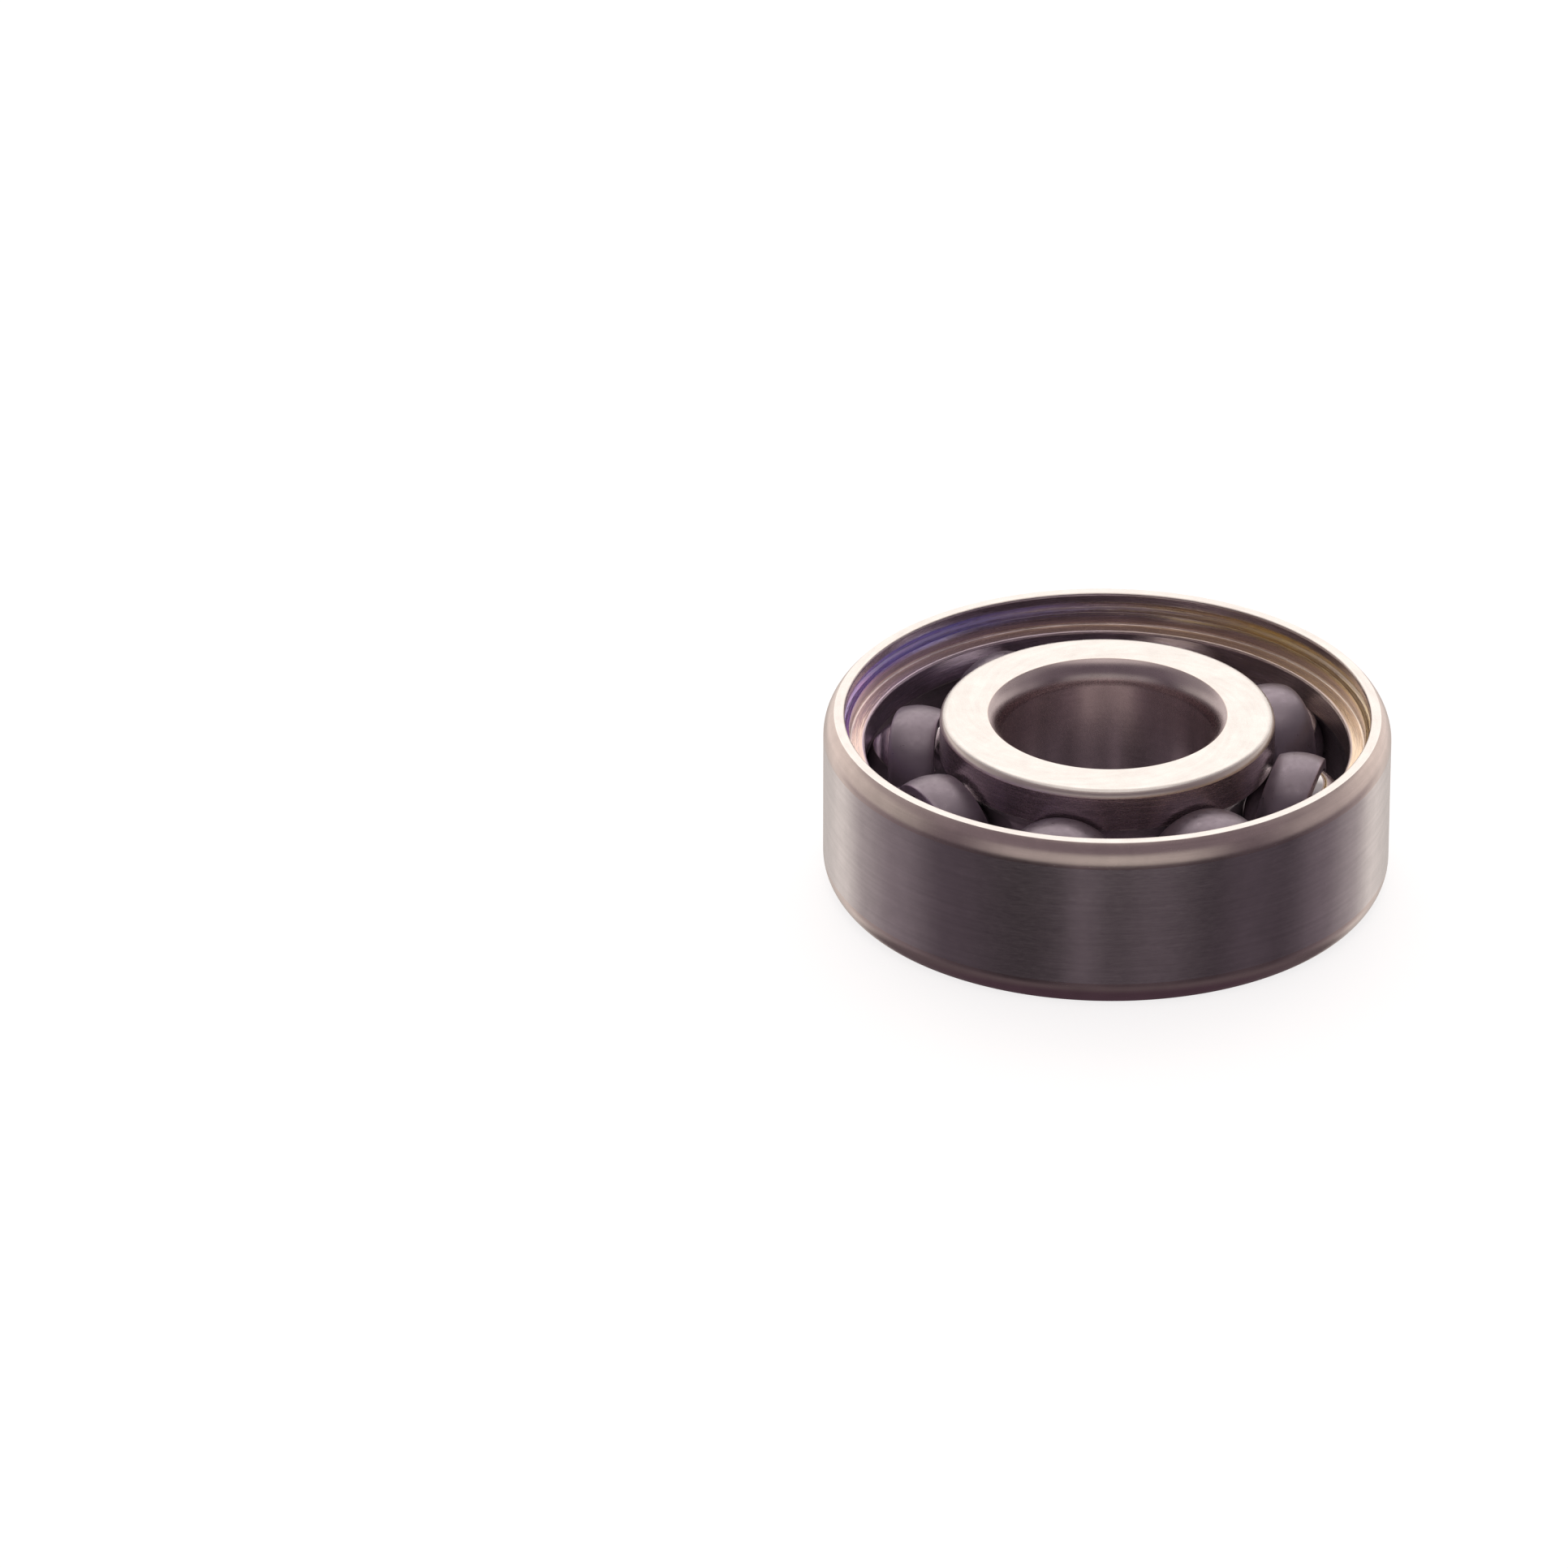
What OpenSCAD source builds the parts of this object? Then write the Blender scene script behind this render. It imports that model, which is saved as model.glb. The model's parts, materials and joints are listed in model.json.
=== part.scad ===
// Single-row angular contact ball bearing with a pressed, riveted steel cage.
// Z is the bearing axis. Z = 0 is the lower face, which has the full outer shoulder.
// The upper face has the wide inner-ring face and the relieved outer shoulder.

/* [Boundary dimensions] */
// Bore diameter
bore_d = 12; // [11.6:0.1:12.4]
// Outside diameter
outer_d = 32; // [31.6:0.1:34]
// Width of both rings
width = 10; // [9.8:0.1:11]

/* [Balls] */
// Diameter of one ball
ball_d = 5.953; // [5.85:0.001:6.1]
// Diameter of the circle through the ball centres
pitch_d = 22; // [21.9:0.05:22.2]
// Contact angle of the balls in the raceways, in degrees
contact_angle = 30; // [15:5:40]
// Clearance between a ball and each raceway at the contact line
race_clearance = 0.01; // [0.01:0.005:0.03]
// Groove radius of a raceway as a fraction of the ball diameter
race_conformity = 0.52; // [0.515:0.005:0.535]
// Direction of the first ball, in degrees from +X towards +Y
first_ball_angle = 30; // [0:1:45]

/* [Outer ring] */
// Height of the rounded corner on the seat
seat_corner_h = 1.4; // [1:0.1:1.5]
// Depth of the same corner across the face
seat_corner_w = 0.6; // [0.5:0.05:0.8]
// Inside diameter of the rim on the upper side
rim_d = 29.6; // [29.4:0.1:29.6]
// Radius of the round groove inside the rim
groove_r = 0.3; // [0.26:0.01:0.35]
// Depth of the groove's centre below the upper face
groove_depth = 0.9; // [0.8:0.05:1]
// Diameter of the wall below the groove
recess_d = 29.1; // [29.05:0.05:29.2]
// Depth of the ledge below the upper face
ledge_depth = 1.86; // [1.7:0.02:2]
// Inside diameter of the relieved upper shoulder
relief_d = 27.3; // [27.2:0.1:27.6]
// Inside diameter of the full lower shoulder
outer_shoulder_d = 25.5; // [25.2:0.1:25.8]

/* [Inner ring] */
// Height of the rounded corner in the bore
bore_corner_h = 1.4; // [1:0.1:1.5]
// Width of the same corner across the face
bore_corner_w = 0.75; // [0.5:0.05:0.8]
// Diameter of the full upper shoulder
inner_shoulder_d = 18.9; // [18.6:0.1:19.1]
// Diameter of the relieved lower shoulder
inner_relief_d = 16.7; // [16.5:0.1:16.9]
// Leg of the small chamfer on the turned edges
edge_chamfer = 0.3; // [0.15:0.05:0.35]

/* [Cage] */
// Inside diameter of the cage strip
cage_inner_d = 19.5; // [19.4:0.1:19.8]
// Outside diameter of the cage strip
cage_outer_d = 24.7; // [24.2:0.1:24.9]
// Thickness of the pressed sheet
sheet_t = 0.5; // [0.4:0.05:0.55]
// Play between a ball and its pocket
pocket_play = 0.1; // [0.08:0.01:0.12]
// Diameter of a rivet's shank
rivet_d = 0.8; // [0.6:0.05:0.9]
// Diameter of a rivet's head
rivet_head_d = 1.25; // [1.1:0.05:1.3]
// Height of a rivet's head
rivet_head_h = 0.32; // [0.25:0.01:0.4]

/* [Hidden] */
$fn = 96;
ball_count = 8;

outer_r = outer_d / 2;
bore_r = bore_d / 2;
ball_r = ball_d / 2;
pitch_r = pitch_d / 2;
mid_z = width / 2;
race_r = race_conformity * ball_d;
// Distance from the ball's centre to the centre of a raceway's groove circle
race_offset = race_r - ball_r - race_clearance;
race_shift_r = race_offset * cos(contact_angle);
race_shift_z = race_offset * sin(contact_angle);
ball_step = 360 / ball_count;
dome_r = ball_r + pocket_play + sheet_t;
rivet_r = rivet_d / 2;
rivet_head_r = rivet_head_d / 2;
// Radius of the ball-shaped top of a rivet's head
head_crown_r = (rivet_head_r * rivet_head_r + rivet_head_h * rivet_head_h) / (2 * rivet_head_h);
// Margin by which a cutting shape passes the surface it cuts
over = 1;

ring_steel = [0.62, 0.60, 0.61];
cage_steel = [0.55, 0.53, 0.57];
ball_steel = [0.80, 0.80, 0.82];
rivet_steel = [0.58, 0.56, 0.58];

// Moves its children to the direction of ball k, counted from 1
module at_ball(k) {
    rotate([0, 0, first_ball_angle + (k - 1) * ball_step])
        translate([pitch_r, 0, mid_z])
            children();
}

// Moves its children to the land between ball k and the next ball
module at_rivet(k) {
    rotate([0, 0, first_ball_angle + (k - 0.5) * ball_step])
        translate([pitch_r, 0, mid_z])
            children();
}

// What a rounded corner takes off a square one. The corner sits at the origin, the solid
// fills x < 0 and y < 0, and the arc runs into the side face without an edge.
module corner_waste(w, h) {
    arc_r = (w * w + h * h) / (2 * w);
    difference() {
        translate([-w, -h])
            square([w + over, h + over]);
        translate([-arc_r, -h])
            circle(arc_r);
    }
}

// What a 45 degree chamfer takes off a corner laid out in the same way
module chamfer_waste(leg) {
    polygon([[-leg, over], [-leg, 0], [0, -leg], [over, -leg], [over, over]]);
}

module outer_profile() {
    shoulder_r = outer_shoulder_d / 2;
    relief_r = relief_d / 2;
    difference() {
        translate([shoulder_r, 0])
            square([outer_r - shoulder_r, width]);
        // relieved shoulder above the balls
        translate([shoulder_r - over, mid_z])
            square([relief_r - shoulder_r + over, width]);
        // wall under the rim, down to the ledge
        translate([shoulder_r - over, width - ledge_depth])
            square([recess_d / 2 - shoulder_r + over, width]);
        // mouth of the rim, down to the groove
        translate([shoulder_r - over, width - groove_depth])
            square([rim_d / 2 - shoulder_r + over, width]);
        translate([rim_d / 2, width - groove_depth])
            circle(groove_r);
        // raceway, with its centre moved for the contact angle
        translate([pitch_r - race_shift_r, mid_z + race_shift_z])
            circle(race_r);
        // seat corners
        translate([outer_r, width])
            corner_waste(seat_corner_w, seat_corner_h);
        translate([outer_r, 0])
            mirror([0, 1])
                corner_waste(seat_corner_w, seat_corner_h);
        // turned edges
        translate([shoulder_r, 0])
            mirror([1, 0])
                mirror([0, 1])
                    chamfer_waste(edge_chamfer);
        translate([relief_r, width - ledge_depth])
            mirror([1, 0])
                chamfer_waste(edge_chamfer / 3);
        translate([rim_d / 2, width])
            mirror([1, 0])
                chamfer_waste(edge_chamfer / 3);
    }
}

module inner_profile() {
    shoulder_r = inner_shoulder_d / 2;
    relief_r = inner_relief_d / 2;
    difference() {
        translate([bore_r, 0])
            square([shoulder_r - bore_r, width]);
        // relieved shoulder below the balls
        translate([relief_r, -over])
            square([shoulder_r - relief_r + over, mid_z + over]);
        // raceway, with its centre moved for the contact angle
        translate([pitch_r + race_shift_r, mid_z - race_shift_z])
            circle(race_r);
        // bore corners
        translate([bore_r, width])
            mirror([1, 0])
                corner_waste(bore_corner_w, bore_corner_h);
        translate([bore_r, 0])
            mirror([1, 0])
                mirror([0, 1])
                    corner_waste(bore_corner_w, bore_corner_h);
        // turned edges
        translate([shoulder_r, width])
            chamfer_waste(edge_chamfer);
        translate([relief_r, 0])
            mirror([0, 1])
                chamfer_waste(edge_chamfer);
    }
}

module outer_ring() {
    color(ring_steel)
        rotate_extrude()
            outer_profile();
}

module inner_ring() {
    color(ring_steel)
        rotate_extrude()
            inner_profile();
}

// Ring of the cage's width, tall enough for the pockets
module cage_strip() {
    translate([0, 0, mid_z])
        difference() {
            cylinder(h = dome_r + over, r = cage_outer_d / 2);
            translate([0, 0, -over])
                cylinder(h = dome_r + 3 * over, r = cage_inner_d / 2);
        }
}

// One pressed half, drawn above the middle plane: flat lands with domed pockets
module cage_half() {
    difference() {
        intersection() {
            cage_strip();
            union() {
                translate([0, 0, mid_z])
                    cylinder(h = sheet_t, r = cage_outer_d / 2 + over);
                for (k = [1 : ball_count])
                    at_ball(k)
                        sphere(dome_r);
            }
        }
        for (k = [1 : ball_count])
            at_ball(k)
                sphere(dome_r - sheet_t);
        for (k = [1 : ball_count])
            at_rivet(k)
                cylinder(h = 2 * (sheet_t + over), r = rivet_r, center = true);
    }
}

module cage_upper_half() {
    color(cage_steel)
        cage_half();
}

module cage_lower_half() {
    color(cage_steel)
        translate([0, 0, width])
            mirror([0, 0, 1])
                cage_half();
}

module ball(k) {
    color(ball_steel)
        at_ball(k)
            sphere(ball_r);
}

// Outline of one rivet above the middle plane: half the shank and a crowned head
module rivet_half_profile() {
    square([rivet_r, sheet_t]);
    intersection() {
        translate([0, sheet_t])
            square([rivet_head_r, rivet_head_h]);
        translate([0, sheet_t + rivet_head_h - head_crown_r])
            circle(head_crown_r);
    }
}

module rivet(k) {
    color(rivet_steel)
        at_rivet(k)
            rotate_extrude() {
                rivet_half_profile();
                mirror([0, 1])
                    rivet_half_profile();
            }
}

outer_ring();
inner_ring();
cage_upper_half();
cage_lower_half();
for (k = [1 : ball_count]) ball(k);
for (k = [1 : ball_count]) rivet(k);
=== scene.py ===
import json
import math

import bmesh
import bpy
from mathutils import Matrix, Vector


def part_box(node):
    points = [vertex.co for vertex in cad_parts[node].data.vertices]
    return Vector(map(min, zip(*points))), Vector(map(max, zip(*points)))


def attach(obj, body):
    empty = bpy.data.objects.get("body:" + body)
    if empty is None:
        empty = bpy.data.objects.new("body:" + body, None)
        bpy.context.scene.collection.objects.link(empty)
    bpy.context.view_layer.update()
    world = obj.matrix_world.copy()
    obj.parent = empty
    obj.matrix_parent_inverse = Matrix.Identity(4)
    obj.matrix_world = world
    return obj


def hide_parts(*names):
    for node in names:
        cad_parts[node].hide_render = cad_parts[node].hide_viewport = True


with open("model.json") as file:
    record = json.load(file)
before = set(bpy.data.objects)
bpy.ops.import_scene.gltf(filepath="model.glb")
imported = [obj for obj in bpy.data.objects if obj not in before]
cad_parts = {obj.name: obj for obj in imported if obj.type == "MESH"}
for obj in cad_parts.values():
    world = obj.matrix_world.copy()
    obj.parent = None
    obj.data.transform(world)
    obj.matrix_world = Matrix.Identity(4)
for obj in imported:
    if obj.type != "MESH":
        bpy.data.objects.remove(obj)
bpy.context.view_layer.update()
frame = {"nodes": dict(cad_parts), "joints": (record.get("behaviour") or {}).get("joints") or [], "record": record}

MM = 0.001
RECORD = frame["record"]
BALLS = sorted(name for name in frame["nodes"] if name.startswith("ball_"))
RIVETS = sorted(name for name in frame["nodes"] if name.startswith("rivet_"))
JOINTS = {joint["name"]: joint for joint in frame["joints"]}

# Main sizes, read from the frame, in millimetres
OUTER_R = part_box("outer_ring")[1].x / MM
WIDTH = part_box("outer_ring")[1].z / MM
BORE_R = next(m["dims"]["r_mm"] for m in RECORD["mounts"] if m["name"] == "bore")
BALL_R = (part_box("ball_1")[1].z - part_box("ball_1")[0].z) / 2 / MM
MID_Z = WIDTH / 2
FIRST_BALL = Vector(JOINTS["ball_1_spin"]["pos_m"]) / MM
PITCH_R = FIRST_BALL.xy.length
FIRST_ANGLE = math.atan2(FIRST_BALL.y, FIRST_BALL.x)
BALL_STEP = 2 * math.pi / len(BALLS)
BALL_AXIS = Vector(JOINTS["ball_1_spin"]["axis"])
CONTACT_ANGLE = math.atan2(BALL_AXIS.xy.length, BALL_AXIS.z)
CAGE_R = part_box("cage_upper_half")[1].x / MM
INNER_SHOULDER_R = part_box("inner_ring")[1].x / MM
RIVET_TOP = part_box("rivet_1")[1].z / MM

# Outer ring, in millimetres
SEAT_CORNER = (0.6, 1.4)
RIM_R = 14.8
GROOVE_R = 0.3
GROOVE_DEPTH = 0.9
RECESS_R = 14.55
LEDGE_DEPTH = 1.86
RELIEF_R = 13.65
OUTER_SHOULDER_R = 12.75
EDGE_CHAMFER = 0.3
FINE_CHAMFER = 0.1

# Inner ring, in millimetres
BORE_CORNER = (0.75, 1.4)
INNER_RELIEF_R = 8.35

# Raceways, in millimetres
RACE_R = 0.52 * 2 * BALL_R
RACE_CLEARANCE = 0.01
RACE_OFFSET = RACE_R - BALL_R - RACE_CLEARANCE

# Cage and rivets, in millimetres
CAGE_INNER_R = 9.75
SHEET = 0.5
POCKET_PLAY = 0.1
RIVET_SHANK_R = 0.4
RIVET_HEAD_R = 0.625

# Blends between a pocket's dome and the lands, outside and inside the sheet
OUTER_BLEND = 0.14
INNER_BLEND = 0.34
SHEET_BEVEL = 0.05
# How much less the underside of a rivet's head measures than its crown
HEAD_TAPER = 0.03

# Rounding of the turned edges, in millimetres
EDGE_ROUND = 0.06
TURNED_ROUND = 0.14
CHAMFER_ROUND = 0.4
# Distance at which a point beside a rounding keeps the flat flat
HOLD = 0.02
# Corners that turn by less than this stay as they are
SMOOTH_TURN = math.radians(14)
# Turn between two points of a rounding
ROUND_STEP = math.radians(22)
# Largest share of a flat that one rounding may use
ROUND_SHARE = 0.42

# Edges rub bright, and the same brightening paints the highlight a rounded edge catches. An outline that bends by
# the start value below, in radians per millimetre, is as dark as a flat, and one that bends by the span value more
# is bright. So are the sheet's rims.
WEAR_HIGHLIGHT_START = 1.0
WEAR_HIGHLIGHT_SPAN = 6.0
SHEET_WEAR_HIGHLIGHT = 0.8

# Half height of the coloured film's band round the groove, in millimetres. The band is partly oil film and partly
# painted coloured highlight.
FILM_HIGHLIGHT_SPAN = 0.55

# Fineness of the meshes
RING_STEPS = 384
RIVET_STEPS = 48
BALL_CUTS = 23
CORNER_STEPS = 10
RACE_STEPS = 36
GROOVE_STEPS = 12
CROWN_STEPS = 6
CAGE_STATIONS = 11

# Viewpoint
VIEW_ELEVATION = math.radians(28.0)
VIEW_DISTANCE = 0.7
VIEW_AIM = Vector((-1.1383 * OUTER_R * MM, 0.6443 * OUTER_R * MM, 0))
LENS = 279.84

# Light around the object: (azimuth in degrees from the camera's side, level)
LOW_LIGHT = (
    (-180, 0.55), (-158, 0.62), (-137, 0.80), (-118, 0.38), (-98, 0.22), (-69, 0.08),
    (-34, 0.03), (-22, 0.045), (-11, 0.11), (2, 0.06), (20, 0.085), (42, 0.045), (59, 0.08),
    (76, 0.06), (98, 0.16), (118, 0.36), (137, 0.80), (158, 0.62), (180, 0.55),
)
STRIP_LIGHT = (
    (-180, 1.0), (-135, 0.90), (-95, 0.50), (-65, 0.14), (-32, 0.44), (0, 0.50), (28, 0.46),
    (55, 0.14), (88, 0.40), (135, 0.90), (180, 1.0),
)
HIGH_LIGHT = (
    (-180, 1.42), (-152, 1.37), (-122, 0.42), (-60, 0.20), (0, 0.18), (60, 0.20), (122, 0.42),
    (152, 1.37), (180, 1.42),
)
BELOW_LIGHT = (0.115, 0.09, 0.10)
NADIR_LIGHT = (0.070, 0.043, 0.060)
ZENITH_LIGHT = (0.85, 0.77, 0.73)
DIM_TINT = Vector((1, 0.72, 0.92))
BRIGHT_TINT = Vector((1, 0.92, 0.87))

# Colours of the steels
GROUND = (0.80, 0.785, 0.765)
SEAT = (0.80, 0.755, 0.755)
# The bore: darker and pinker than the faces, painted shade.
BORE_SHADED = (0.72, 0.62, 0.63)
BRIGHT = (0.92, 0.88, 0.85)
WARM = (0.74, 0.67, 0.63)
CORNER = (0.80, 0.69, 0.65)
THROAT = (0.58, 0.50, 0.51)
# Recess and shoulder steel: dark plum, painted shade of the ring's inside.
TURNED_PLUM_SHADE = (0.46, 0.37, 0.41)
TURNED_EDGE = (0.56, 0.47, 0.48)
# The ledge and its edges: bright peach, a painted highlight of the light the upward ledge catches.
LEDGE_HIGHLIGHT = (0.92, 0.74, 0.58)
LEDGE_EDGE_HIGHLIGHT = (0.80, 0.68, 0.60)
# Raceway steel: dark plum, painted shade; its part-diffuse shader lifts the shadows to plum.
RACE_PLUM_SHADE = (0.48, 0.39, 0.44)
CAGE_STEEL = (0.33, 0.285, 0.335)
RIVET_STEEL = (0.52, 0.49, 0.52)
BALL_STEEL = (0.82, 0.81, 0.82)
# The coloured film, from its thinnest to its thickest; it also colours the painted highlights in the groove
FILM_AND_HIGHLIGHT_COLORS = (
    (0.78, 0.66, 0.52), (0.98, 0.76, 0.26), (0.86, 0.70, 0.46), (0.58, 0.50, 0.52),
    (0.58, 0.50, 0.80), (0.44, 0.48, 1.00), (0.88, 0.44, 0.95), (0.90, 0.66, 0.52),
)
# How far the tone of the ground steel wanders
MOTTLE = 0.07
# Depth of the grinding and turning marks, in metres
FINE_MARKS = 0.0005 * MM
COARSE_MARKS = 0.0006 * MM


# ---------------------------------------------------------------- camera

def add_camera():
    data = bpy.data.cameras.new("camera")
    data.lens = LENS
    data.sensor_width = 36
    data.clip_start = 0.01
    data.clip_end = 10
    camera = bpy.data.objects.new("camera", data)
    bpy.context.scene.collection.objects.link(camera)
    back = Vector((0, -math.cos(VIEW_ELEVATION), math.sin(VIEW_ELEVATION)))
    camera.location = VIEW_AIM + back * VIEW_DISTANCE
    camera.rotation_euler = back.to_track_quat("Z", "Y").to_euler()
    bpy.context.scene.camera = camera


# ---------------------------------------------------------------- outlines

def arc(center, radius, start, end, steps, zone):
    """Points along an arc, angles in degrees. The last one is left to the next run."""
    points = []
    for i in range(steps):
        a = math.radians(start + (end - start) * i / steps)
        points.append((center[0] + radius * math.cos(a), center[1] + radius * math.sin(a), zone))
    return points


def corner_arc(width, height):
    """Radius of a rounded corner that runs tangentially into the side face."""
    return (width * width + height * height) / (2 * width)


def soften(outline):
    """Rounds each sharp corner of a closed outline and keeps the flats beside it flat."""
    out = []
    count = len(outline)
    for i, (r, z, zone) in enumerate(outline):
        here = Vector((r, z))
        before = Vector(outline[i - 1][:2]) - here
        after = Vector(outline[(i + 1) % count][:2]) - here
        turn = math.pi - before.angle(after)
        if turn < SMOOTH_TURN:
            out.append((r, z, zone))
            continue
        beside = (zone, outline[i - 1][2])
        if "edge" in beside:
            radius = CHAMFER_ROUND
        elif "recess" in beside:
            radius = TURNED_ROUND
        else:
            radius = EDGE_ROUND
        room = ROUND_SHARE * min(before.length, after.length)
        reach = min(radius * math.tan(turn / 2), room)
        a = here + before.normalized() * reach
        b = here + after.normalized() * reach
        if before.length > reach + 3 * HOLD:
            hold = a + before.normalized() * HOLD
            out.append((hold.x, hold.y, outline[i - 1][2]))
        steps = max(2, round(turn / ROUND_STEP))
        for k in range(steps + 1):
            t = k / steps
            p = a * (1 - t) ** 2 + here * 2 * t * (1 - t) + b * t * t
            out.append((p.x, p.y, zone))
        if after.length > reach + 3 * HOLD:
            hold = b + after.normalized() * HOLD
            out.append((hold.x, hold.y, zone))
    return out


def edge_wear_and_highlight_weights(outline):
    """How much each outline point is rubbed bright and painted with edge highlight, from 0 on flats to 1 on small
    edges.
    """
    weights = []
    count = len(outline)
    for i, (r, z, _zone) in enumerate(outline):
        here = Vector((r, z))
        before = here - Vector(outline[i - 1][:2])
        after = Vector(outline[(i + 1) % count][:2]) - here
        bend = before.angle(after) / max(0.5 * (before.length + after.length), 1e-6)
        weights.append(min(1.0, max(0.0, (bend - WEAR_HIGHLIGHT_START) / WEAR_HIGHLIGHT_SPAN)))
    return weights


def outer_ring_outline():
    width, height = SEAT_CORNER
    corner = corner_arc(width, height)
    top = math.degrees(math.asin(height / corner))
    race_x = PITCH_R - RACE_OFFSET * math.cos(CONTACT_ANGLE)
    race_z = MID_Z + RACE_OFFSET * math.sin(CONTACT_ANGLE)
    high = math.degrees(math.acos((RELIEF_R - race_x) / RACE_R))
    low = math.degrees(math.acos((OUTER_SHOULDER_R - race_x) / RACE_R))
    groove_z = WIDTH - GROOVE_DEPTH
    groove_end = 180 + math.degrees(math.acos((RIM_R - RECESS_R) / GROOVE_R))
    outline = [(OUTER_SHOULDER_R + EDGE_CHAMFER, 0, "face")]
    outline += arc((OUTER_R - corner, height), corner, -top, 0, CORNER_STEPS, "corner")
    outline += [(OUTER_R, height, "seat")]
    outline += arc((OUTER_R - corner, WIDTH - height), corner, 0, top, CORNER_STEPS, "corner")
    outline += [
        (OUTER_R - width, WIDTH, "face"),
        (RIM_R + FINE_CHAMFER, WIDTH, "edge"),
        (RIM_R, WIDTH - FINE_CHAMFER, "recess"),
    ]
    outline += arc((RIM_R, groove_z), GROOVE_R, 90, groove_end - 360, GROOVE_STEPS, "recess")
    groove_foot = groove_z - math.sqrt(GROOVE_R ** 2 - (RIM_R - RECESS_R) ** 2)
    outline += [
        (RECESS_R, groove_foot, "recess"),
        (RECESS_R, WIDTH - LEDGE_DEPTH, "ledge"),
        (RELIEF_R + FINE_CHAMFER, WIDTH - LEDGE_DEPTH, "recess"),
        (RELIEF_R, WIDTH - LEDGE_DEPTH - FINE_CHAMFER, "recess"),
    ]
    outline += arc((race_x, race_z), RACE_R, high, -low, RACE_STEPS, "race")
    outline += [
        (OUTER_SHOULDER_R, race_z - RACE_R * math.sin(math.radians(low)), "recess"),
        (OUTER_SHOULDER_R, EDGE_CHAMFER, "edge"),
    ]
    return outline


def inner_ring_outline():
    width, height = BORE_CORNER
    corner = corner_arc(width, height)
    top = math.degrees(math.asin(height / corner))
    race_x = PITCH_R + RACE_OFFSET * math.cos(CONTACT_ANGLE)
    race_z = MID_Z - RACE_OFFSET * math.sin(CONTACT_ANGLE)
    high = math.degrees(math.acos((race_x - INNER_SHOULDER_R) / RACE_R))
    low = math.degrees(math.acos((race_x - INNER_RELIEF_R) / RACE_R))
    outline = [(BORE_R + width, 0, "face")]
    outline += [
        (INNER_RELIEF_R - EDGE_CHAMFER, 0, "edge"),
        (INNER_RELIEF_R, EDGE_CHAMFER, "shoulder"),
    ]
    outline += arc((race_x, race_z), RACE_R, 180 + low, 180 - high, RACE_STEPS, "race")
    outline += [
        (INNER_SHOULDER_R, race_z + RACE_R * math.sin(math.radians(high)), "shoulder"),
        (INNER_SHOULDER_R, WIDTH - EDGE_CHAMFER, "edge"),
        (INNER_SHOULDER_R - EDGE_CHAMFER, WIDTH, "face"),
    ]
    upper = (BORE_R + corner, WIDTH - height)
    lower = (BORE_R + corner, height)
    outline += arc(upper, corner, 180 - top, 180, CORNER_STEPS, "throat")
    outline += [(BORE_R, WIDTH - height, "bore")]
    outline += arc(lower, corner, 180, 180 + top, CORNER_STEPS, "throat")
    return outline


def rivet_outline():
    """One rivet about its own axis, from the lower head's middle to the upper head's."""
    head = RIVET_TOP - MID_Z - SHEET
    crown = (RIVET_HEAD_R ** 2 + head ** 2) / (2 * head)
    spread = math.degrees(math.asin(RIVET_HEAD_R / crown))
    upper = arc((0, SHEET + head - crown), crown, 90 - spread, 90, CROWN_STEPS, "head")
    lower = [(r, -z, zone) for r, z, zone in reversed(upper)]
    neck = [
        (RIVET_HEAD_R - HEAD_TAPER, -SHEET, "head"),
        (RIVET_SHANK_R, -SHEET, "head"),
        (RIVET_SHANK_R, SHEET, "head"),
        (RIVET_HEAD_R - HEAD_TAPER, SHEET, "head"),
    ]
    return lower, neck, upper


# ---------------------------------------------------------------- meshes

def new_piece(name, mesh, materials):
    piece = bpy.data.objects.new(name, mesh)
    bpy.context.scene.collection.objects.link(piece)
    for material in materials:
        mesh.materials.append(material)
    for polygon in mesh.polygons:
        polygon.use_smooth = True
    return piece


def lathe(name, outline, materials):
    """A ring turned from a closed outline, one material for each zone."""
    zones = sorted(materials)
    weights = edge_wear_and_highlight_weights(outline)
    build = bmesh.new()
    edge_layer = build.verts.layers.float.new("edge_wear_and_highlight")
    rings = []
    # Each point keeps how bright its edge is painted: rubbing plus painted edge highlight.
    for (r, z, _zone), weight in zip(outline, weights):
        ring = []
        for j in range(RING_STEPS):
            a = 2 * math.pi * j / RING_STEPS
            vertex = build.verts.new((r * MM * math.cos(a), r * MM * math.sin(a), z * MM))
            vertex[edge_layer] = weight
            ring.append(vertex)
        rings.append(ring)
    for i, ring in enumerate(rings):
        after = rings[(i + 1) % len(rings)]
        for j in range(RING_STEPS):
            k = (j + 1) % RING_STEPS
            face = build.faces.new((ring[j], ring[k], after[k], after[j]))
            face.material_index = zones.index(outline[i][2])
    bmesh.ops.recalc_face_normals(build, faces=build.faces)
    mesh = bpy.data.meshes.new(name)
    build.to_mesh(mesh)
    build.free()
    return new_piece(name, mesh, [materials[zone] for zone in zones])


def ball_mesh(name, center, radius):
    """A ball of evenly spread quads: a cube's faces, divided and pushed out."""
    build = bmesh.new()
    bmesh.ops.create_cube(build, size=2)
    bmesh.ops.subdivide_edges(build, edges=build.edges, cuts=BALL_CUTS, use_grid_fill=True)
    for vertex in build.verts:
        warped = Vector([math.tan(c * math.pi / 4) for c in vertex.co])
        vertex.co = center + warped.normalized() * radius
    mesh = bpy.data.meshes.new(name)
    build.to_mesh(mesh)
    build.free()
    return mesh


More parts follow.
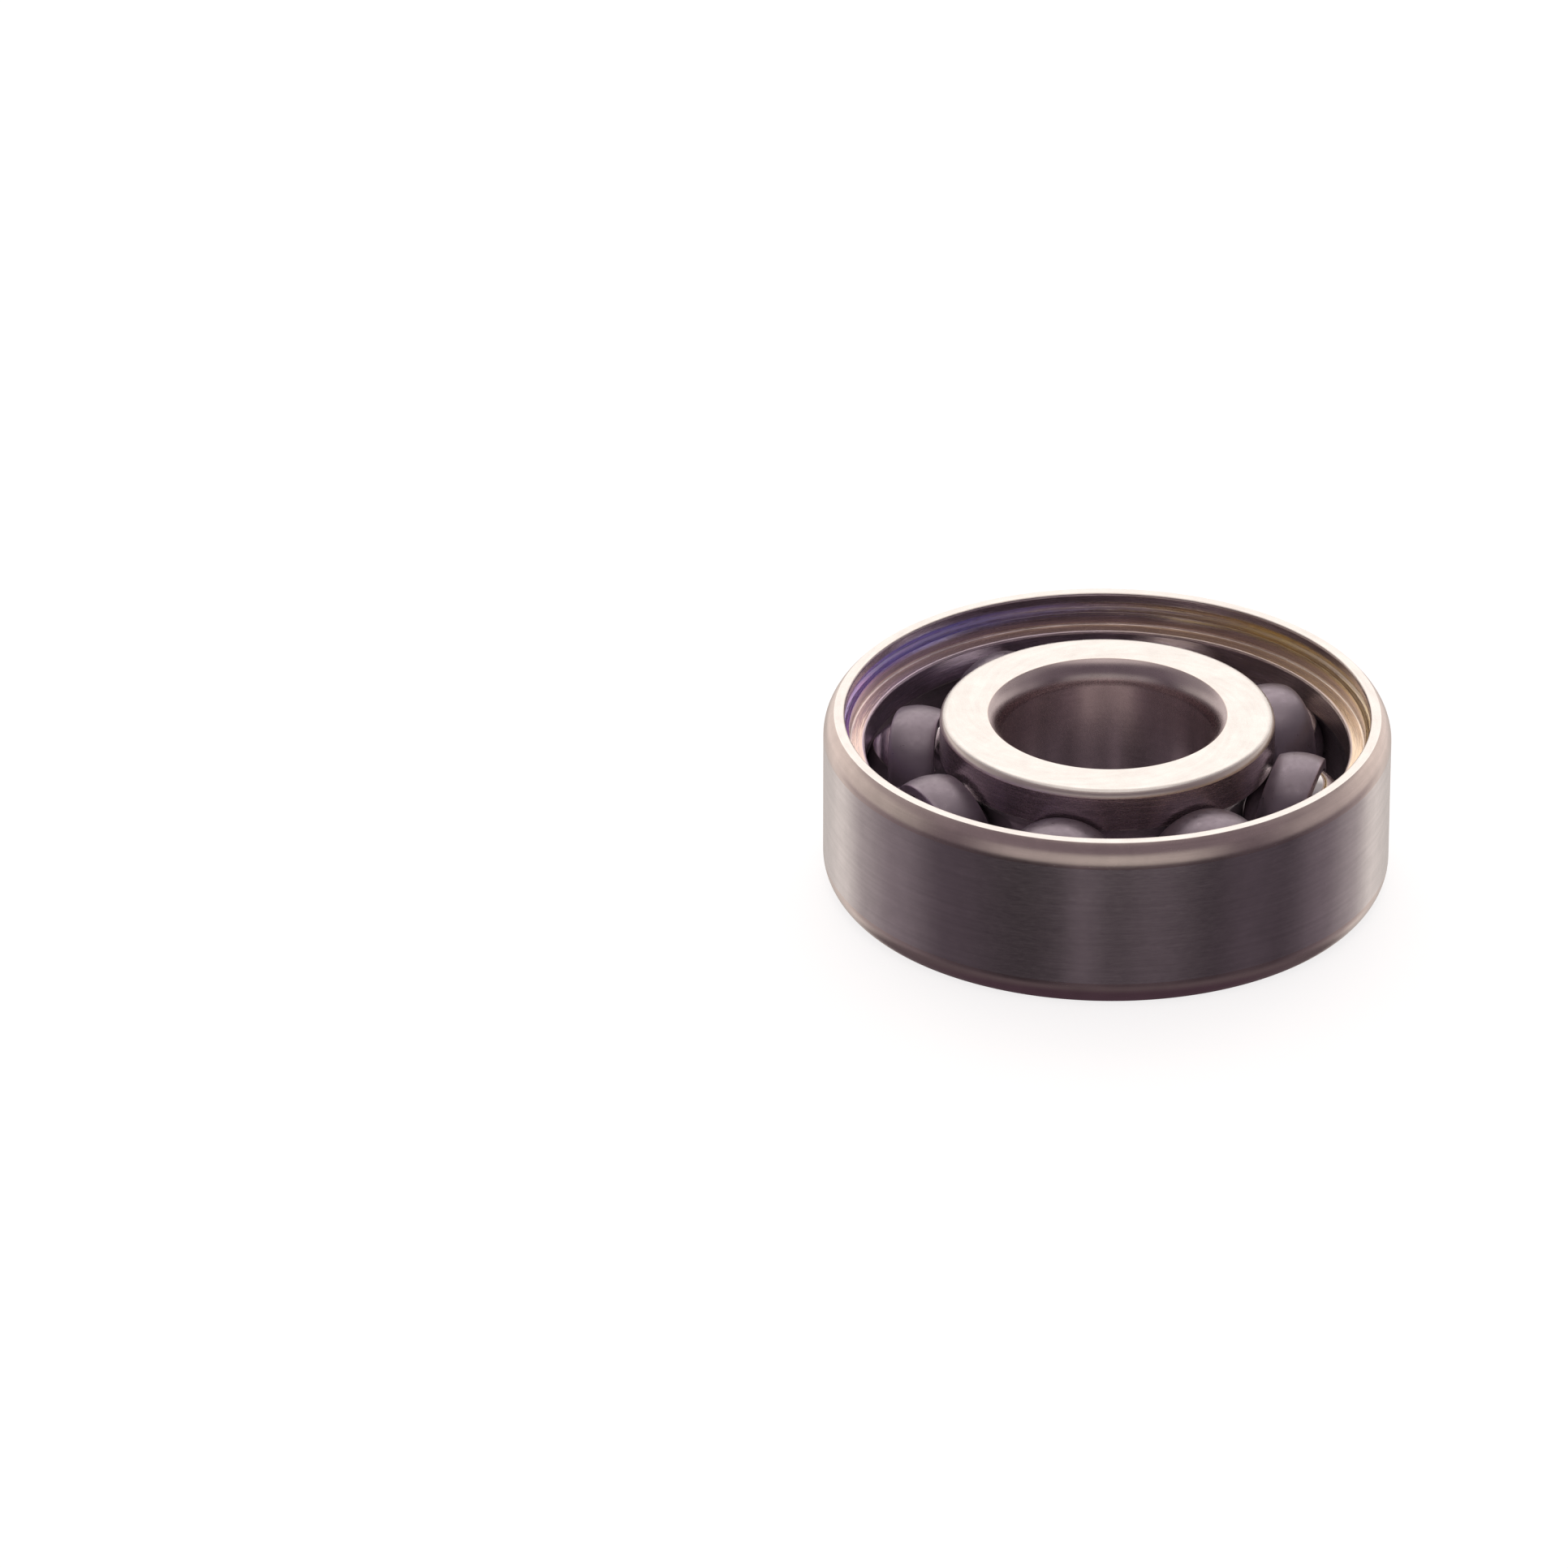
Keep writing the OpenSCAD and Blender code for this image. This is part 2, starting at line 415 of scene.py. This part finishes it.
def pocket_section(dome, floor, blend, half_gap):
    """Half of one pocket's outline as (along, height), from crest to middle of the land."""
    center_h = floor + blend
    center_s = math.sqrt((dome + blend) ** 2 - center_h ** 2)
    foot = math.atan2(center_h, center_s)
    points = []
    dome_steps, blend_steps, land_steps = 18, 5, 4
    for i in range(dome_steps):
        a = math.pi / 2 + (foot - math.pi / 2) * i / dome_steps
        points.append((dome * math.cos(a), dome * math.sin(a)))
    for i in range(blend_steps):
        a = math.pi + foot + (math.pi / 2 - foot) * i / blend_steps
        points.append((center_s + blend * math.cos(a), center_h + blend * math.sin(a)))
    for i in range(land_steps + 1):
        t = i / land_steps
        points.append((center_s + (half_gap - center_s) * t, floor))
    return points


def cage_half(name, up, material):
    """One pressed half of the cage: a strip of domed pockets and flat lands."""
    play_r = BALL_R + POCKET_PLAY
    build = bmesh.new()
    edge_layer = build.verts.layers.float.new("edge_wear_and_highlight")
    sheets = []
    sides = ((play_r + SHEET, SHEET, OUTER_BLEND), (play_r, 0, INNER_BLEND))
    for dome_r, floor, blend in sides:
        rows = []
        for i in range(CAGE_STATIONS):
            r = CAGE_INNER_R + (CAGE_R - CAGE_INNER_R) * i / (CAGE_STATIONS - 1)
            dome = math.sqrt(dome_r ** 2 - (r - PITCH_R) ** 2)
            # Measured along this chord, the dome is a true ball at every radius
            chord = 2 * math.sqrt(r * PITCH_R)
            half = pocket_section(dome, floor, blend, chord * math.sin(BALL_STEP / 4))
            row = []
            for k in range(len(BALLS)):
                middle = FIRST_ANGLE + k * BALL_STEP
                left = [(middle - 2 * math.asin(s / chord), h) for s, h in reversed(half)][1:]
                right = [(middle + 2 * math.asin(s / chord), h) for s, h in half][1:]
                row += left + right
            rows.append([
                build.verts.new((
                    r * MM * math.cos(a), r * MM * math.sin(a), (MID_Z + up * h) * MM,
                ))
                for a, h in row
            ])
        sheets.append(rows)
    # The sheet's rims are rubbed bright, which also paints the highlight on their crests.
    for rows in sheets:
        for vertex in rows[0] + rows[-1]:
            vertex[edge_layer] = SHEET_WEAR_HIGHLIGHT
    steps = len(sheets[0][0])
    for rows in sheets:
        for low, high in zip(rows, rows[1:]):
            for j in range(steps):
                k = (j + 1) % steps
                build.faces.new((low[j], low[k], high[k], high[j]))
    for side in (0, -1):
        outer, inner = sheets[0][side], sheets[1][side]
        for j in range(steps):
            k = (j + 1) % steps
            build.faces.new((outer[j], outer[k], inner[k], inner[j]))
    bmesh.ops.recalc_face_normals(build, faces=build.faces)
    mesh = bpy.data.meshes.new(name)
    build.to_mesh(mesh)
    build.free()
    piece = new_piece(name, mesh, [material])
    bevel = piece.modifiers.new("rounded_edges", "BEVEL")
    bevel.width = SHEET_BEVEL * MM
    bevel.segments = 2
    bevel.limit_method = "ANGLE"
    bevel.angle_limit = math.radians(50)
    apply_modifiers(piece)
    return piece


def apply_modifiers(piece):
    """Leaves the modified shape as the piece's own mesh."""
    graph = bpy.context.evaluated_depsgraph_get()
    mesh = bpy.data.meshes.new_from_object(piece.evaluated_get(graph))
    piece.modifiers.clear()
    piece.data = mesh
    for polygon in mesh.polygons:
        polygon.use_smooth = True


def rivet(name, middle, material):
    """A closed rivet, its shank between two crowned heads."""
    lower, neck, upper = rivet_outline()
    first = (0, lower[0][1], "head")
    last = (0, upper[-1][1], "head")
    outline = [first] + lower[1:] + neck + upper[:-1] + [last]
    steps = RIVET_STEPS
    build = bmesh.new()
    rings = []
    for r, z, _zone in outline:
        count = steps if r > 1e-6 else 1
        rings.append([
            build.verts.new((
                (middle.x + r * math.cos(2 * math.pi * j / steps)) * MM,
                (middle.y + r * math.sin(2 * math.pi * j / steps)) * MM,
                (MID_Z + z) * MM,
            ))
            for j in range(count)
        ])
    for low, high in zip(rings, rings[1:]):
        for j in range(steps):
            k = (j + 1) % steps
            below = (low[j % len(low)], low[k % len(low)])
            above = (high[k % len(high)], high[j % len(high)])
            # dict.fromkeys drops the doubled corner where a ring is a single point
            build.faces.new(list(dict.fromkeys(below + above)))
    bmesh.ops.recalc_face_normals(build, faces=build.faces)
    mesh = bpy.data.meshes.new(name)
    build.to_mesh(mesh)
    build.free()
    return new_piece(name, mesh, [material])


# ---------------------------------------------------------------- materials

def new_material(name):
    material = bpy.data.materials.new(name)
    material.use_nodes = True
    tree = material.node_tree
    tree.nodes.clear()
    output = tree.nodes.new("ShaderNodeOutputMaterial")
    shader = tree.nodes.new("ShaderNodeBsdfPrincipled")
    tree.links.new(shader.outputs["BSDF"], output.inputs["Surface"])
    shader.inputs["Metallic"].default_value = 1.0
    return material, tree, shader


def add_math(tree, operation, a, b=None, clamp=False):
    node = tree.nodes.new("ShaderNodeMath")
    node.operation = operation
    node.use_clamp = clamp
    for socket, value in zip(node.inputs, (a, b)):
        if value is None:
            continue
        if isinstance(value, (int, float)):
            socket.default_value = value
        else:
            tree.links.new(value, socket)
    return node.outputs[0]


def cylinder_coordinates(tree):
    """Turn in radians, and radius and height in millimetres, about the bearing axis."""
    position = tree.nodes.new("ShaderNodeTexCoord")
    split = tree.nodes.new("ShaderNodeSeparateXYZ")
    tree.links.new(position.outputs["Object"], split.inputs[0])
    x, y, z = split.outputs
    turn = add_math(tree, "ARCTAN2", y, x)
    x_square = add_math(tree, "MULTIPLY", x, x)
    square = add_math(tree, "ADD", x_square, add_math(tree, "MULTIPLY", y, y))
    radius = add_math(tree, "MULTIPLY", add_math(tree, "SQRT", square), 1 / MM)
    height = add_math(tree, "MULTIPLY", z, 1 / MM)
    return turn, radius, height


def combine(tree, x, y, z):
    node = tree.nodes.new("ShaderNodeCombineXYZ")
    for socket, value in zip(node.inputs, (x, y, z)):
        if isinstance(value, (int, float)):
            socket.default_value = value
        else:
            tree.links.new(value, socket)
    return node.outputs[0]


def add_noise(tree, vector, scale, detail=2.0, roughness=0.5):
    node = tree.nodes.new("ShaderNodeTexNoise")
    node.inputs["Scale"].default_value = scale
    node.inputs["Detail"].default_value = detail
    node.inputs["Roughness"].default_value = roughness
    tree.links.new(vector, node.inputs["Vector"])
    return node.outputs["Fac"]


def add_ring_noise(tree, turn, along, radius, height, scale, detail=2.0, roughness=0.5):
    """Noise that closes on itself round the axis. along sets its pace with the turn."""
    node = tree.nodes.new("ShaderNodeTexNoise")
    node.noise_dimensions = "4D"
    node.inputs["Scale"].default_value = scale
    node.inputs["Detail"].default_value = detail
    node.inputs["Roughness"].default_value = roughness
    x = add_math(tree, "MULTIPLY", add_math(tree, "COSINE", turn), along)
    y = add_math(tree, "MULTIPLY", add_math(tree, "SINE", turn), along)
    tree.links.new(combine(tree, x, y, radius), node.inputs["Vector"])
    tree.links.new(height, node.inputs["W"])
    return node.outputs["Fac"]


def remap(tree, value, low, high, new_low, new_high, smooth=False):
    node = tree.nodes.new("ShaderNodeMapRange")
    node.interpolation_type = "SMOOTHSTEP" if smooth else "LINEAR"
    tree.links.new(value, node.inputs["Value"])
    node.inputs["From Min"].default_value = low
    node.inputs["From Max"].default_value = high
    node.inputs["To Min"].default_value = new_low
    node.inputs["To Max"].default_value = new_high
    return node.outputs["Result"]


def mix_colors(tree, factor, a, b):
    node = tree.nodes.new("ShaderNodeMix")
    node.data_type = "RGBA"
    if isinstance(factor, (int, float)):
        node.inputs["Factor"].default_value = factor
    else:
        tree.links.new(factor, node.inputs["Factor"])
    for name, value in (("A", a), ("B", b)):
        socket = [s for s in node.inputs if s.name == name and s.type == "RGBA"][0]
        if isinstance(value, tuple):
            socket.default_value = (*value, 1)
        else:
            tree.links.new(value, socket)
    return [s for s in node.outputs if s.type == "RGBA"][0]


def add_bump(tree, shader, height, distance, strength=1.0):
    node = tree.nodes.new("ShaderNodeBump")
    node.inputs["Distance"].default_value = distance
    node.inputs["Strength"].default_value = strength
    tree.links.new(height, node.inputs["Height"])
    tree.links.new(node.outputs["Normal"], shader.inputs["Normal"])


def scale_color(tree, color, amount):
    node = tree.nodes.new("ShaderNodeVectorMath")
    node.operation = "SCALE"
    tree.links.new(color, node.inputs[0])
    tree.links.new(amount, node.inputs["Scale"])
    return node.outputs[0]


def edge_wear_and_highlight(tree):
    node = tree.nodes.new("ShaderNodeAttribute")
    node.attribute_name = "edge_wear_and_highlight"
    return node.outputs["Fac"]


def ring_steel(name, color, worn_and_highlit, roughness, lay, lay_depth, aniso=0.0, metallic=1.0):
    """Hardened ring steel. lay says which way the grinding or turning marks run:
    "round" for marks along the circumference, "cross" for the arcs of a ground face."""
    material, tree, shader = new_material(name)
    shader.inputs["Metallic"].default_value = metallic
    turn, radius, height = cylinder_coordinates(tree)
    if lay == "round":
        marks = add_ring_noise(tree, turn, 1.2, radius, height, 26, 3, 0.7)
        broad = add_ring_noise(tree, turn, 0.5, radius, height, 4, 2, 0.5)
    else:
        spiral = add_math(tree, "ADD", turn, add_math(tree, "MULTIPLY", radius, 0.45))
        marks = add_ring_noise(tree, spiral, 2.2, radius, height, 14, 3, 0.7)
        broad = add_ring_noise(tree, spiral, 4.0, radius, height, 1.3, 3, 0.6)
    position = tree.nodes.new("ShaderNodeTexCoord")
    cloud = add_noise(tree, position.outputs["Object"], 900, 3, 0.6)
    dark, light = 1 - MOTTLE, 1 + 0.4 * MOTTLE
    shade = add_math(
        tree, "MULTIPLY",
        remap(tree, cloud, 0.3, 0.7, dark, light),
        remap(tree, broad, 0.3, 0.7, dark, light),
    )
    # Edges are mixed toward the lighter colour: rubbing plus painted edge highlight.
    base = mix_colors(tree, edge_wear_and_highlight(tree), color, worn_and_highlit)
    tree.links.new(scale_color(tree, base, shade), shader.inputs["Base Color"])
    rough = remap(tree, marks, 0.25, 0.75, roughness * 0.75, roughness * 1.3)
    tree.links.new(rough, shader.inputs["Roughness"])
    add_bump(tree, shader, marks, lay_depth)
    if aniso:
        shader.inputs["Anisotropic"].default_value = aniso
        shader.inputs["Anisotropic Rotation"].default_value = 0.25
        tangent = tree.nodes.new("ShaderNodeTangent")
        tangent.direction_type = "RADIAL"
        tangent.axis = "Z"
        tree.links.new(tangent.outputs[0], shader.inputs["Tangent"])
    return material


def turned_steel(name, color, worn_and_highlit, roughness, film_highlight_strength, film_highlight_z):
    """Unground turned steel with fine tool lines and a thin coloured film over it. Round the groove the film's
    band also paints coloured highlights, blue and purple on one side, gold on the other.
    """
    material, tree, shader = new_material(name)
    turn, radius, height = cylinder_coordinates(tree)
    lines = add_ring_noise(tree, turn, 0.6, radius, height, 7, 3, 0.7)
    fine = add_ring_noise(tree, turn, 0.6, radius, height, 34, 2, 0.6)
    patches = add_ring_noise(tree, turn, 2.0, radius, height, 1.1, 2, 0.5)
    # Edges are mixed toward the lighter colour: rubbing plus painted edge highlight.
    base = mix_colors(tree, edge_wear_and_highlight(tree), color, worn_and_highlit)
    shade = remap(tree, lines, 0.3, 0.7, 0.72, 1.12)
    tint = scale_color(tree, base, shade)
    film_and_highlight = tree.nodes.new("ShaderNodeValToRGB")
    film_and_highlight.color_ramp.interpolation = "B_SPLINE"
    elements = film_and_highlight.color_ramp.elements
    while len(elements) < len(FILM_AND_HIGHLIGHT_COLORS):
        elements.new(0.5)
    for i, (element, film_and_highlight_color) in enumerate(zip(elements, FILM_AND_HIGHLIGHT_COLORS)):
        element.position = i / (len(FILM_AND_HIGHLIGHT_COLORS) - 1)
        element.color = (*film_and_highlight_color, 1)
    # Colour shifts with the side of the ring: painted blue and purple highlights on the left, gold on the right.
    side = remap(tree, add_math(tree, "COSINE", turn), -1, 1, 0.80, 0.05)
    thickness = add_math(tree, "ADD", side, remap(tree, lines, 0.3, 0.7, -0.12, 0.12))
    tree.links.new(thickness, film_and_highlight.inputs["Fac"])
    full, faint = 0.4 * FILM_HIGHLIGHT_SPAN, FILM_HIGHLIGHT_SPAN
    below = remap(tree, height, film_highlight_z - faint, film_highlight_z - full, 0.2, 1, smooth=True)
    above = remap(tree, height, film_highlight_z + full, film_highlight_z + faint, 1, 0.2, smooth=True)
    band = add_math(tree, "MINIMUM", below, above)
    patchy = remap(tree, patches, 0.35, 0.6, 0.55 * film_highlight_strength, film_highlight_strength)
    streaks = remap(tree, fine, 0.35, 0.6, 0.6, 1, smooth=True)
    amount = add_math(tree, "MULTIPLY", add_math(tree, "MULTIPLY", band, patchy), streaks)
    colored = mix_colors(tree, amount, tint, film_and_highlight.outputs["Color"])
    # Less metallic where the film lies, so its painted colour also shows where no highlight falls.
    tree.links.new(remap(tree, amount, 0, 1, 0.85, 0.6), shader.inputs["Metallic"])
    tree.links.new(colored, shader.inputs["Base Color"])
    rough = remap(tree, fine, 0.25, 0.75, roughness * 0.7, roughness * 1.3)
    tree.links.new(rough, shader.inputs["Roughness"])
    add_bump(tree, shader, lines, 0.020 * MM)
    return material


def plain_steel(name, color, roughness, grain_scale, grain_depth, metallic=1.0):
    """Steel with an even grain: tumbled pressings, rivets, polished balls."""
    material, tree, shader = new_material(name)
    shader.inputs["Metallic"].default_value = metallic
    position = tree.nodes.new("ShaderNodeTexCoord")
    grain = add_noise(tree, position.outputs["Object"], grain_scale, 4, 0.6)
    cloud = add_noise(tree, position.outputs["Object"], grain_scale / 8, 3, 0.6)
    dull = tuple(c * 0.86 for c in color)
    rubbed_and_highlit = tuple(min(1, c * 1.5) for c in color)
    base = mix_colors(tree, remap(tree, cloud, 0.3, 0.7, 0, 1), dull, color)
    # Edges and rims are mixed toward a lighter colour: rubbing plus painted edge highlight.
    base = mix_colors(tree, edge_wear_and_highlight(tree), base, rubbed_and_highlit)
    tree.links.new(base, shader.inputs["Base Color"])
    rough = remap(tree, grain, 0.3, 0.7, roughness * 0.7, roughness * 1.3)
    tree.links.new(rough, shader.inputs["Roughness"])
    add_bump(tree, shader, grain, grain_depth)
    return material


# ---------------------------------------------------------------- stage

def add_ramp(tree, value, stops):
    """Smooth light level around the object, plum where dim and warm white where bright."""
    node = tree.nodes.new("ShaderNodeValToRGB")
    node.color_ramp.interpolation = "EASE"
    elements = node.color_ramp.elements
    while len(elements) < len(stops):
        elements.new(0.5)
    for element, (azimuth, _level) in zip(elements, stops):
        element.position = 0.5 + azimuth / 360
    for element, (_azimuth, level) in zip(elements, stops):
        tint = DIM_TINT.lerp(BRIGHT_TINT, min(1, 2 * level))
        element.color = (*(tint * level), 1)
    tree.links.new(value, node.inputs["Fac"])
    return node.outputs["Color"]


def add_world():
    """Soft studio surround: a bright backdrop behind the object, a dim room on the camera's
    side with a low light strip, and soft light strips at table height."""
    world = bpy.data.worlds.new("studio")
    bpy.context.scene.world = world
    world.use_nodes = True
    tree = world.node_tree
    tree.nodes.clear()
    output = tree.nodes.new("ShaderNodeOutputWorld")
    direction = tree.nodes.new("ShaderNodeTexCoord")
    split = tree.nodes.new("ShaderNodeSeparateXYZ")
    tree.links.new(direction.outputs["Generated"], split.inputs[0])
    x, y, z = split.outputs
    turn = add_math(tree, "ARCTAN2", x, add_math(tree, "MULTIPLY", y, -1))
    around = add_math(tree, "ADD", add_math(tree, "MULTIPLY", turn, 0.5 / math.pi), 0.5)
    surround = NADIR_LIGHT
    for low, high, layer in (
        (-0.95, -0.75, BELOW_LIGHT),
        (-0.72, -0.60, add_ramp(tree, around, LOW_LIGHT)),
        (-0.32, -0.14, add_ramp(tree, around, STRIP_LIGHT)),
        (0.26, 0.44, add_ramp(tree, around, HIGH_LIGHT)),
        (0.83, 0.96, ZENITH_LIGHT),
    ):
        surround = mix_colors(tree, remap(tree, z, low, high, 0, 1, smooth=True), surround, layer)
    studio = tree.nodes.new("ShaderNodeBackground")
    tree.links.new(surround, studio.inputs["Color"])
    plain = tree.nodes.new("ShaderNodeBackground")
    plain.inputs["Color"].default_value = (0.96, 0.96, 0.96, 1)
    path = tree.nodes.new("ShaderNodeLightPath")
    choose = tree.nodes.new("ShaderNodeMixShader")
    tree.links.new(path.outputs["Is Camera Ray"], choose.inputs["Fac"])
    tree.links.new(studio.outputs[0], choose.inputs[1])
    tree.links.new(plain.outputs[0], choose.inputs[2])
    tree.links.new(choose.outputs[0], output.inputs["Surface"])


def add_floor():
    """Pale floor, clear from below so that the underside can be seen."""
    size = 2.0
    mesh = bpy.data.meshes.new("floor")
    drop = -0.02 * MM
    corners = [(-size, -size, drop), (size, -size, drop), (size, size, drop), (-size, size, drop)]
    mesh.from_pydata(corners, [], [(0, 1, 2, 3)])
    floor = bpy.data.objects.new("floor", mesh)
    bpy.context.scene.collection.objects.link(floor)
    material, tree, shader = new_material("floor_pale")
    shader.inputs["Metallic"].default_value = 0
    shader.inputs["Base Color"].default_value = (0.5, 0.5, 0.5, 1)
    shader.inputs["Roughness"].default_value = 0.9
    shader.inputs["Specular IOR Level"].default_value = 0
    shader.inputs["Emission Color"].default_value = (1, 1, 1, 1)
    shader.inputs["Emission Strength"].default_value = 0.78
    geometry = tree.nodes.new("ShaderNodeNewGeometry")
    clear = tree.nodes.new("ShaderNodeBsdfTransparent")
    one_sided = tree.nodes.new("ShaderNodeMixShader")
    tree.links.new(geometry.outputs["Backfacing"], one_sided.inputs["Fac"])
    tree.links.new(shader.outputs["BSDF"], one_sided.inputs[1])
    tree.links.new(clear.outputs["BSDF"], one_sided.inputs[2])
    output = next(n for n in tree.nodes if n.type == "OUTPUT_MATERIAL")
    tree.links.new(one_sided.outputs["Shader"], output.inputs["Surface"])
    mesh.materials.append(material)
    floor.visible_glossy = False


# ---------------------------------------------------------------- making

bpy.context.scene.view_settings.view_transform = "Standard"
bpy.context.scene.cycles.glossy_bounces = 8
add_camera()
add_world()
add_floor()

ring_looks = {
    "face": ring_steel("ground_face", GROUND, BRIGHT, 0.26, "cross", COARSE_MARKS),
    "seat": ring_steel("ground_seat", SEAT, BRIGHT, 0.20, "round", FINE_MARKS, aniso=0.7),
    # The bore steel is painted darker, standing in for shade.
    "bore": ring_steel(
        "ground_bore_shaded", BORE_SHADED, BRIGHT, 0.22, "round", FINE_MARKS, aniso=0.7, metallic=0.96,
    ),
    "corner": ring_steel("turned_corner", CORNER, BRIGHT, 0.22, "round", COARSE_MARKS),
    "throat": ring_steel("turned_throat", THROAT, WARM, 0.24, "round", COARSE_MARKS),
    "edge": ring_steel("turned_edge", WARM, BRIGHT, 0.34, "round", 0.001 * MM),
    "recess": turned_steel(
        "turned_recess_plum_shade", TURNED_PLUM_SHADE, TURNED_EDGE, 0.22, 1.0, WIDTH - GROOVE_DEPTH,
    ),
    # The ledge's bright peach colour is a painted highlight.
    "ledge": turned_steel("turned_ledge_highlight", LEDGE_HIGHLIGHT, LEDGE_EDGE_HIGHLIGHT, 0.22, 0.2, WIDTH - LEDGE_DEPTH),
    "shoulder": turned_steel("turned_shoulder_plum_shade", TURNED_PLUM_SHADE, WARM, 0.26, 0.1, MID_Z),
    # Part diffuse, so the plum colour shows as painted shade in the dark.
    "race": ring_steel("honed_raceway_plum_shade", RACE_PLUM_SHADE, WARM, 0.16, "round", 0.0004 * MM, metallic=0.7),
}
cage_look = plain_steel("cage_sheet", CAGE_STEEL, 0.38, 3000, 0.0015 * MM, metallic=0.72)
rivet_look = plain_steel("rivet_steel", RIVET_STEEL, 0.40, 3000, 0.002 * MM)
ball_look = plain_steel("ball_steel", BALL_STEEL, 0.06, 6000, 0.0001 * MM)


def zone_looks(outline):
    return {zone: ring_looks[zone] for zone in {point[2] for point in outline}}


for node, body, shape in (
    ("outer_ring", "outer_ring", outer_ring_outline()),
    ("inner_ring", "inner_ring", inner_ring_outline()),
):
    outline = soften(shape)
    ring = lathe(f"{node}_finished", outline, zone_looks(outline))
    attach(ring, body)
    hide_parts(node)

for node, up in (("cage_upper_half", 1), ("cage_lower_half", -1)):
    half = cage_half(f"{node}_pressed", up, cage_look)
    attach(half, "cage")
    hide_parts(node)

for node in RIVETS:
    angle = FIRST_ANGLE + (int(node.split("_")[1]) - 0.5) * BALL_STEP
    middle = Vector((PITCH_R * math.cos(angle), PITCH_R * math.sin(angle), 0))
    piece = rivet(f"{node}_closed", middle, rivet_look)
    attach(piece, "cage")
    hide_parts(node)

for node in BALLS:
    center = Vector(JOINTS[f"{node}_spin"]["pos_m"])
    mesh = ball_mesh(f"{node}_polished", center, BALL_R * MM)
    piece = new_piece(f"{node}_polished", mesh, [ball_look])
    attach(piece, node)
    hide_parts(node)
